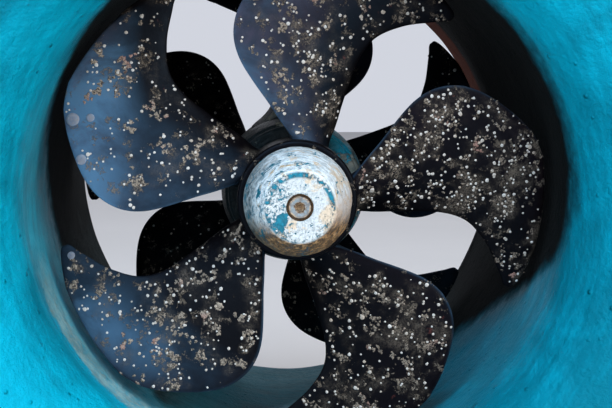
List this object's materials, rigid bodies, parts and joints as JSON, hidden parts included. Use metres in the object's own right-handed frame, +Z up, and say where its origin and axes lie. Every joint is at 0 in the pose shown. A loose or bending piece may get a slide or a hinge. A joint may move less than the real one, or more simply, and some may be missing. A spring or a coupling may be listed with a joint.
{
  "type": "tunnel thruster with twin propellers",
  "caption": "Flared steel tunnel with two skewed-blade propellers on one shaft, zinc nose anodes, a gear leg between them and a motor bracket on top.",
  "frame": {"origin": "on the flat back of the front mouth's flange, at its top, where the flange meets the ship's side", "axes": "+X to the right seen from the front mouth, +Y along the tunnel from the front mouth to the rear mouth, +Z up towards the motor"},
  "size_m": [0.39, 0.2992, 0.4246],
  "materials": {
    "tunnel_paint": "thick turquoise paint, worn along the corner",
    "leg_paint": "teal paint over bronze",
    "blade_plastic": "dark fibre-filled plastic with marine growth",
    "anode_zinc": "worn zinc with flakes of paint",
    "stainless_steel": "machined",
    "seal_rubber": "matt",
    "bracket_casting": "cast"
  },
  "bodies": {
    "tunnel": {"tunnel_tube": "tunnel_paint", "front_bell_mouth": "tunnel_paint", "rear_bell_mouth": "tunnel_paint", "gear_leg": "leg_paint", "front_bearing_cap": "leg_paint", "rear_bearing_cap": "leg_paint", "front_shaft_seal": "seal_rubber", "rear_shaft_seal": "seal_rubber", "leg_gasket": "seal_rubber", "bracket_gasket": "seal_rubber", "motor_bracket": "bracket_casting", "clamping_bolt_1": "stainless_steel", "clamping_bolt_2": "stainless_steel"},
    "propellers": {"propeller_shaft": "stainless_steel", "front_shaft_spacer": "stainless_steel", "rear_shaft_spacer": "stainless_steel", "front_propeller": "blade_plastic", "rear_propeller": "blade_plastic", "front_anode": "anode_zinc", "rear_anode": "anode_zinc", "front_anode_screw": "stainless_steel", "rear_anode_screw": "stainless_steel"},
    "drive": {"drive_shaft": "stainless_steel", "drive_key": "stainless_steel"}
  },
  "joints": [
    {"name": "propeller_spin", "type": "hinge", "parent": "tunnel", "child": "propellers", "pos_m": [0, 0.1436, -0.184], "axis": [0, 1, 0], "continuous": true},
    {"name": "drive_spin", "type": "hinge", "parent": "tunnel", "child": "drive", "pos_m": [0, 0.1436, -0.05], "axis": [0, 0, 1], "continuous": true}
  ],
  "couplings": [
    {"joint": "drive_spin", "follows": "propeller_spin", "ratio": 2}
  ]
}
